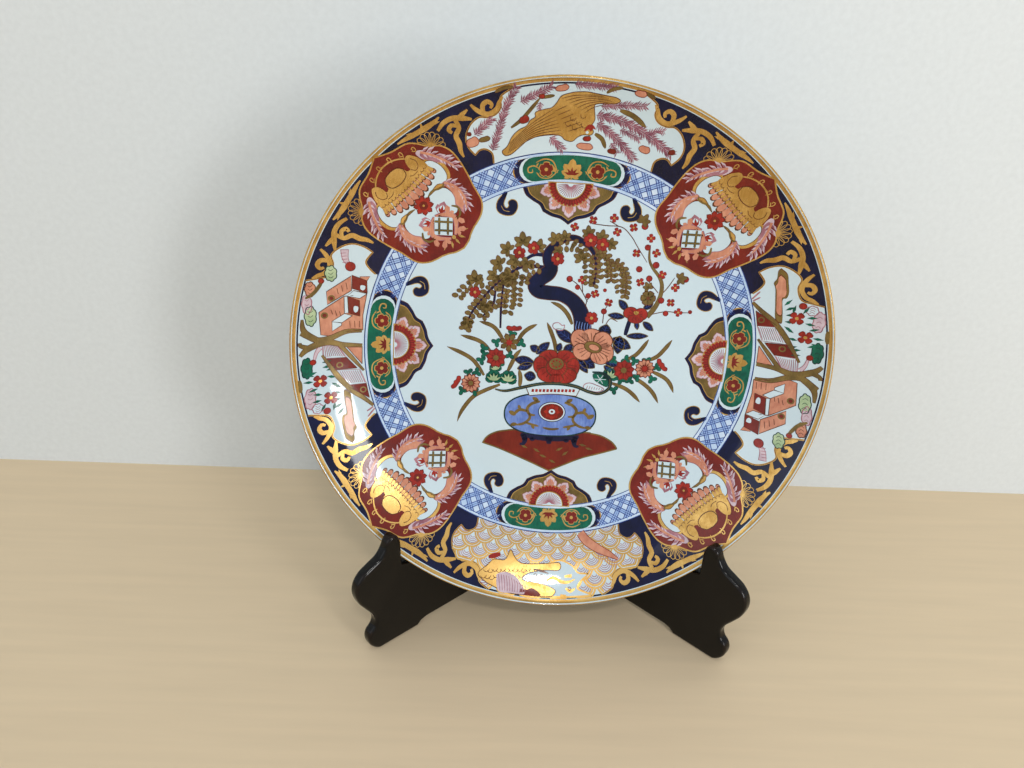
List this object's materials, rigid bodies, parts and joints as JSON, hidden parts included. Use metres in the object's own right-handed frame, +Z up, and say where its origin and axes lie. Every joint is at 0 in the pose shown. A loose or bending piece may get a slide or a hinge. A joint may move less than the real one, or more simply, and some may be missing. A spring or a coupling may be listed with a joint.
{
  "type": "decorated china display plate on folding stand",
  "caption": "Large round porcelain display plate with Imari-style enamel decoration, leaning on a black-lacquered folding wooden plate stand.",
  "frame": {"origin": "centre of the object's footprint on the table", "axes": "+Z up, -Y is the front that the plate faces, +X to the viewer's right"},
  "size_m": [0.3098, 0.11, 0.3358],
  "materials": {
    "porcelain": "glossy clear glaze over painted decoration",
    "lacquered_wood": "black lacquer, gloss",
    "brass": "polished, lightly dulled"
  },
  "bodies": {
    "left_half": {"left_board": "lacquered_wood", "upper_leaf_left": "brass", "lower_leaf_left": "brass", "upper_pin": "brass", "lower_pin": "brass", "upper_left_screw_a": "brass", "upper_left_screw_b": "brass", "lower_left_screw_a": "brass", "lower_left_screw_b": "brass"},
    "right_half": {"right_board": "lacquered_wood", "upper_leaf_right": "brass", "lower_leaf_right": "brass", "upper_right_screw_a": "brass", "upper_right_screw_b": "brass", "lower_right_screw_a": "brass", "lower_right_screw_b": "brass"},
    "plate_body": {"plate": "porcelain"}
  },
  "joints": [
    {"name": "plate_lift", "type": "slide", "parent": "left_half", "child": "plate_body", "axis": [0, 0, 1], "range_m": [0, 0.31]},
    {"name": "stand_fold", "type": "hinge", "parent": "left_half", "child": "right_half", "pos_m": [0, 0.0509, 0], "axis": [0, 0, 1], "range_deg": [-94, 0]}
  ],
  "couplings": [
    {"joint": "stand_fold", "follows": "plate_lift", "rad_per_m": -5.29}
  ]
}
